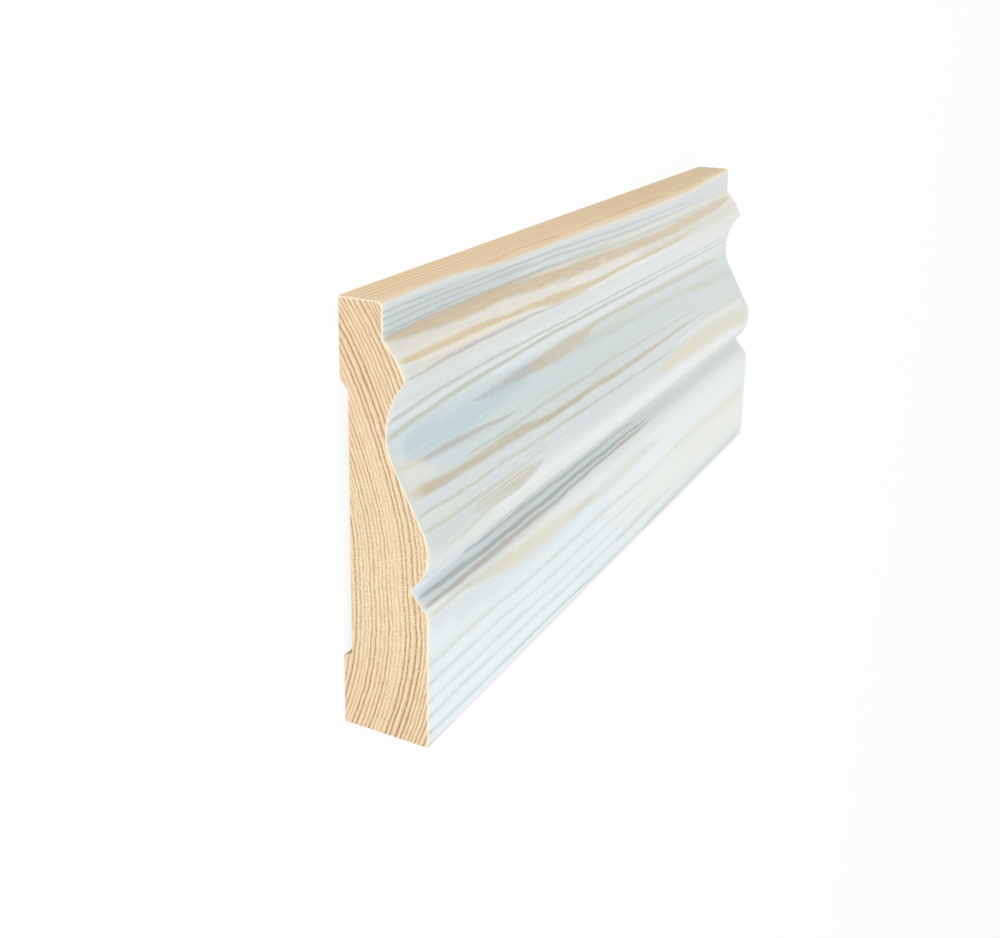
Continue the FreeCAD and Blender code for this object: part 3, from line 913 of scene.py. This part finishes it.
    (WOOD_BEIGE, 1.0, 0.9, (
        (128, 47.0, 0.2), (142, 47.3, 1.4), (158, 47.6, 2.4), (176, 47.4, 2.8), (190, 47.2, 2.8),
        (205, 46.4, 2.8), (212, 45.6, 2.7), (219, 44.9, 2.4),
    )),
    (WOOD_SAND, 0.7, 1.0, ((176, 52.4, 0.2), (192, 52.2, 0.8), (205, 52.0, 0.9), (219, 51.6, 0.9))),
)
# short bright fibres and long fine brush lines, which on the round's crown are a painted highlight: (along,
# half length, height, half width, strength)
FIBRE_PATCHES = ((75.0, 40.0, 83.4, 2.4, 0.85), (40.0, 22.0, 50.0, 2.5, 0.6), (46.0, 16.0, 28.5, 2.4, 0.6))
# fine white and grey grain in the thick stain: (along, half length, height, half width, strength)
GRAIN_PATCHES = (
    (52.0, 34.0, 62.0, 4.5, 1.0), (66.0, 46.0, 84.5, 2.8, 0.9), (42.0, 30.0, 52.0, 3.5, 0.7),
    (36.0, 34.0, 74.0, 3.2, 0.6), (22.0, 16.0, 47.0, 3.0, 0.5),
)
# long fine lines: brush lines, and in the first patch, on the round's crown, a painted highlight
BRUSH_AND_HIGHLIGHT_PATCHES = ((50.0, 70.0, 41.8, 1.4, 0.6), (34.0, 26.0, 47.5, 2.5, 0.4))
# close even lines that the brush left, and on the round's crown white lines of painted highlight: (along,
# half length, height, half width, spacing)
COMBING_AND_HIGHLIGHT = ((60.0, 48.0, 76.4, 2.7, 0.85), (45.0, 50.0, 41.2, 1.5, 0.62))
# where the stain ends at the top, as height less depth: it covers the arris at both ends only
STAIN_LIMIT = (
    (0.0, 84.6), (14.0, 84.7), (30.0, 84.6), (45.0, 83.3), (70.0, 82.8), (100.0, 82.8), (120.0, 82.4),
    (145.0, 82.3), (170.0, 82.4), (195.0, 83.4), (212.0, 84.3), (220.0, 84.6),
)
# the far end is lighter on the stained face; the bare wood there is browner and darker, painted shade for
# the light that falls off along the board
FAR_MILK = linear(242, 244, 239)
FAR_WOOD_PAINTED_SHADE = linear(205, 179, 143)
# from pale spring wood to brown summer wood
BARE_TONES = (
    (0.0, linear(238, 213, 174)), (0.4, linear(229, 203, 163)),
    (0.75, linear(208, 178, 139)), (1.0, linear(192, 158, 117)),
)
# only the darkest part of each ring shows through the stain
RING_CONTRAST = 2.2
# streaks wander about their paths, and lie a little below the heights written, both in mm
STREAK_WANDER = 0.9
STREAK_DROP = 0.33
# lengths over which a streak comes and goes
STREAK_START = 3.0
STREAK_END = 6.0
THINNEST_STREAK = 0.02
# how far the edge of the stain strays, in mm
STAIN_STRAY = 1.4


class PlanedWood(Wood):
    """The planed sides, with the noises that several layers of colour share."""

    def __init__(self, name):
        super().__init__(name)
        self.fibre = self.grain(along=0.07, across=2.6, detail=4.0)
        self.mottle = self.grain(along=0.03, across=0.2, detail=3.0, roughness=0.55)
        self.wobble = self.grain(along=0.08, across=0.3, detail=3.0, roughness=0.5)
        self.dash = self.rise(self.grain(along=0.16, across=4.2, detail=2.0), 0.56, 0.66)
        # long fine lines, which on the round's crown paint its highlight
        self.brush = self.rise(self.grain(along=0.006, across=3.4, detail=2.0), 0.5, 0.6)
        grit = self.grain(along=2.6, across=3.4, detail=2.0)
        self.speck = self.rise(grit, 0.6, 0.72)
        self.pit = self.rise(grit, 0.42, 0.3)

    def grain(self, along, across, detail, roughness=0.6):
        """Noise drawn out along the board: how often it changes per mm, along and across."""
        up, through = self.times(self.height, across), self.times(self.depth, across)
        return self.noise(self.vector(self.times(self.x, along), up, through), 1.0, detail, roughness)

    def near(self, along, length, middle, width):
        """1 at a place on the board, falling to nothing around it."""
        return self.times(self.bell(self.x, along, length), self.bell(self.height, middle, width))


def bare_wood(wood):
    """The wood without stain, browner and darker towards the far end: painted shade where the light falls
    off.
    """
    tone = wood.add(wood.dark, wood.times(wood.less(wood.fibre, 0.5), 0.6))
    bare = wood.ramp(tone, BARE_TONES).outputs["Color"]
    return wood.blend(wood.times(wood.rise(wood.x, 20.0, 170.0), 0.35), bare, FAR_WOOD_PAINTED_SHADE)


def ringed_stain(wood):
    """The stain over spring wood, with the rings that show through it."""
    colour = wood.ramp(wood.height, GROUND, 0.0, HEIGHT).outputs["Color"]
    tint = wood.ramp(wood.height, RING_TINT, 0.0, HEIGHT).outputs["Color"]
    shown = wood.curve(wood.height, RING_SHOW)
    for start, stop, middle, width, share in RING_FADES:
        gone = wood.times(wood.rise(wood.x, start, stop), wood.bell(wood.height, middle, width), share)
        shown = wood.times(shown, wood.less(1.0, gone))
    lines = wood.math("POWER", wood.dark, RING_CONTRAST)
    shown = wood.times(shown, lines, wood.add(0.5, wood.mottle))
    return wood.blend(wood.math("MINIMUM", shown, 1.0), colour, tint)


def streak_share(wood, drawn, softness, path):
    """1 inside a streak and 0 outside, with soft sides and ends. drawn is the height, strayed a little."""
    start, end = path[0][0], path[-1][0]
    centre = wood.curve(wood.x, [(along, middle) for along, middle, _ in path], "AUTO")
    half = wood.curve(wood.x, [(along, width) for along, _, width in path], "AUTO")
    offset = wood.math("ABSOLUTE", wood.less(drawn, centre))
    share = wood.math("DIVIDE", offset, wood.math("MAXIMUM", half, THINNEST_STREAK))
    inside = wood.less(1.0, wood.rise(share, 1.0 - softness, 1.0 + softness * 0.6))
    come = wood.rise(wood.x, start - 0.5, start + STREAK_START)
    gone = wood.rise(wood.x, end - STREAK_END, end + 0.5)
    return wood.times(inside, wood.times(come, wood.less(1.0, gone)))


def add_streaks(wood, colour):
    strayed = wood.times(wood.less(wood.wobble, 0.5), STREAK_WANDER)
    drawn = wood.add(wood.height, strayed, STREAK_DROP)
    uneven = wood.add(0.8, wood.times(wood.mottle, 0.4))
    for tone, strength, softness, path in STREAKS:
        amount = wood.times(streak_share(wood, drawn, softness, path), uneven, strength)
        colour = wood.blend(wood.math("MINIMUM", amount, 1.0), colour, tone)
    return colour


def add_fibres(wood, colour):
    """A fine streaky texture and specks all over, then dashes, brush lines and grain in places; on the
    round's crown the brush lines are a painted highlight.
    """
    colour = wood.blend(wood.times(wood.rise(wood.fibre, 0.5, 0.75), 0.22), colour, FIBRE_WHITE)
    colour = wood.blend(wood.times(wood.speck, 0.25), colour, FIBRE_WHITE)
    for marks, patches, tone in (
        (wood.dash, FIBRE_PATCHES, FIBRE_WHITE), (wood.brush, BRUSH_AND_HIGHLIGHT_PATCHES, FIBRE_WHITE),
        (wood.speck, GRAIN_PATCHES, FIBRE_WHITE), (wood.pit, GRAIN_PATCHES, STAIN_ASH),
    ):
        for *place, strength in patches:
            colour = wood.blend(wood.times(marks, wood.near(*place), strength), colour, tone)
    return colour


def add_combing(wood, colour):
    """The brush's close lines: a white crest and a grey trough each; on the round's crown they are a
    painted highlight.
    """
    for *place, spacing in COMBING_AND_HIGHLIGHT:
        swing = wood.add(wood.times(wood.height, math.tau / spacing), wood.times(wood.wobble, 4.0))
        teeth = wood.math("SINE", swing)
        near = wood.near(*place)
        colour = wood.blend(wood.times(wood.rise(teeth, 0.0, 0.7), near), colour, FIBRE_WHITE)
        colour = wood.blend(wood.times(wood.rise(teeth, -0.1, -0.7), near, 0.9), colour, FIBRE_GREY)
    return colour


def stain_over_wood(wood, colour, bare):
    """Ends the stain on the top arris, thinning to cream, and at the foot. Back and ends stay bare."""
    ragged = wood.less(wood.grain(along=0.3, across=1.0, detail=4.0, roughness=0.65), 0.5)
    limit = wood.curve(wood.x, STAIN_LIMIT, "AUTO")
    reached = wood.add(wood.less(wood.height, wood.depth), wood.times(ragged, STAIN_STRAY))
    past = wood.less(reached, limit)
    thin = wood.add(0.25, wood.times(wood.rise(wood.x, 70.0, 105.0), 0.45))
    colour = wood.blend(wood.times(wood.bell(past, -0.6, 0.8), thin), colour, WOOD_CREAM)
    bare = wood.blend(wood.times(wood.bell(past, 0.5, 1.0), 0.75), bare, WOOD_PALE)
    below_top = wood.less(1.0, wood.rise(past, -0.6, 0.6))
    above_foot = wood.rise(wood.add(wood.height, wood.times(ragged, 0.3)), 0.12, 0.35)
    on_face = wood.rise(wood.depth, 5.0, 6.0)
    return wood.blend(wood.times(below_top, above_foot, on_face), bare, colour)


def make_long_grain():
    wood = PlanedWood("pine_planed_and_stained")
    colour = add_streaks(wood, ringed_stain(wood))
    colour = add_combing(wood, add_fibres(wood, colour))
    colour = wood.blend(wood.times(wood.rise(wood.x, 70.0, 200.0), 0.25), colour, FAR_MILK)
    colour = stain_over_wood(wood, colour, bare_wood(wood))
    wood.finish(colour, roughness=wood.less(0.56, wood.times(wood.dark, 0.12)), gloss=0.24)
    wood.relief(wood.add(wood.dark, wood.times(wood.fibre, 1.1)), strength=0.3, distance=0.0001)
    return wood.material


for make_finish in (make_end_grain, make_long_grain, make_rim):
    board.data.materials.append(make_finish())

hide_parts("skirting_board")
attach(board, "root")


# Floor, light and camera

FLOOR_REACH = 6.0
FLOOR_GREY = (0.95, 0.95, 0.95, 1.0)
WHITE = (1.0, 1.0, 1.0, 1.0)
# the rest of what the camera sees of the floor is its shading, with the board's shadow
FLOOR_GLOW = 0.9
SKY_STRENGTH = 0.84
LAMP_WIDTH = 0.8
# name, place in metres and power in watts
LAMPS = (("key", (-0.7, 0.75, 1.1), 6.85), ("fill", (-0.9, -0.9, 0.8), 3.9))


def mix_by_view(make, lighting, seen, share, output):
    """One shader for the light that falls on the board, and a share of another for what the camera sees."""
    rays = make.node("ShaderNodeLightPath")
    direct = make.math("MAXIMUM", rays.outputs["Is Camera Ray"], rays.outputs["Is Glossy Ray"])
    direct = make.math("MAXIMUM", direct, rays.outputs["Is Transmission Ray"])
    mix = make.node("ShaderNodeMixShader")
    make.feed(mix.inputs[0], make.times(direct, share))
    make.feed(mix.inputs[1], lighting.outputs[0])
    make.feed(mix.inputs[2], seen.outputs[0])
    make.feed(make.node(output).inputs["Surface"], mix.outputs[0])


def make_floor():
    """White paper: near white to the camera, and it keeps the board's shadow."""
    paper = bpy.data.materials.new("white_paper")
    paper.use_nodes = True
    paper.node_tree.nodes.clear()
    make = Maker(paper.node_tree)
    matte = make.node("ShaderNodeBsdfDiffuse")
    matte.inputs["Color"].default_value = FLOOR_GREY
    glow = make.node("ShaderNodeEmission")
    glow.inputs["Color"].default_value = WHITE
    glow.inputs["Strength"].default_value = 1.0
    mix_by_view(make, matte, glow, FLOOR_GLOW, "ShaderNodeOutputMaterial")
    reach = FLOOR_REACH
    corners = [(-reach, -reach, 0), (reach, -reach, 0), (reach, reach, 0), (-reach, reach, 0)]
    sheet = bpy.data.meshes.new("floor")
    sheet.from_pydata(corners, [], [(0, 1, 2, 3)])
    sheet.materials.append(paper)
    floor = bpy.data.objects.new("floor", sheet)
    bpy.context.scene.collection.objects.link(floor)


def make_world():
    """Even soft light from all round, white behind the floor."""
    world = bpy.data.worlds.new("studio")
    world.use_nodes = True
    world.node_tree.nodes.clear()
    make = Maker(world.node_tree)
    sky = make.node("ShaderNodeBackground")
    sky.inputs["Strength"].default_value = SKY_STRENGTH
    white = make.node("ShaderNodeBackground")
    white.inputs["Color"].default_value = WHITE
    white.inputs["Strength"].default_value = 1.0
    mix_by_view(make, sky, white, 1.0, "ShaderNodeOutputWorld")
    bpy.context.scene.world = world


def make_lamp(name, place, power):
    """A square soft lamp that faces the board."""
    lamp = bpy.data.lights.new(name, "AREA")
    lamp.shape = "SQUARE"
    lamp.size = LAMP_WIDTH
    lamp.energy = power
    light = bpy.data.objects.new(name, lamp)
    bpy.context.scene.collection.objects.link(light)
    light.location = place
    light.rotation_mode = "QUATERNION"
    light.rotation_quaternion = (-Vector(place)).to_track_quat("-Z", "Y")


def make_camera():
    """Fitted to both ends of the board. The shift keeps its upright lines parallel."""
    camera = bpy.data.cameras.new("camera")
    camera.lens = 44.765
    camera.shift_y = -0.165
    camera.clip_start = 0.01
    camera.clip_end = 20.0
    viewer = bpy.data.objects.new("camera", camera)
    viewer.location = (-0.30687, 0.10674, 0.13839)
    viewer.rotation_euler = (math.radians(-15.906), math.radians(-62.349), math.radians(1.885))
    bpy.context.scene.collection.objects.link(viewer)
    bpy.context.scene.camera = viewer


make_floor()
make_world()
for name, place, power in LAMPS:
    make_lamp(name, place, power)
make_camera()
bpy.context.scene.view_settings.view_transform = "Standard"
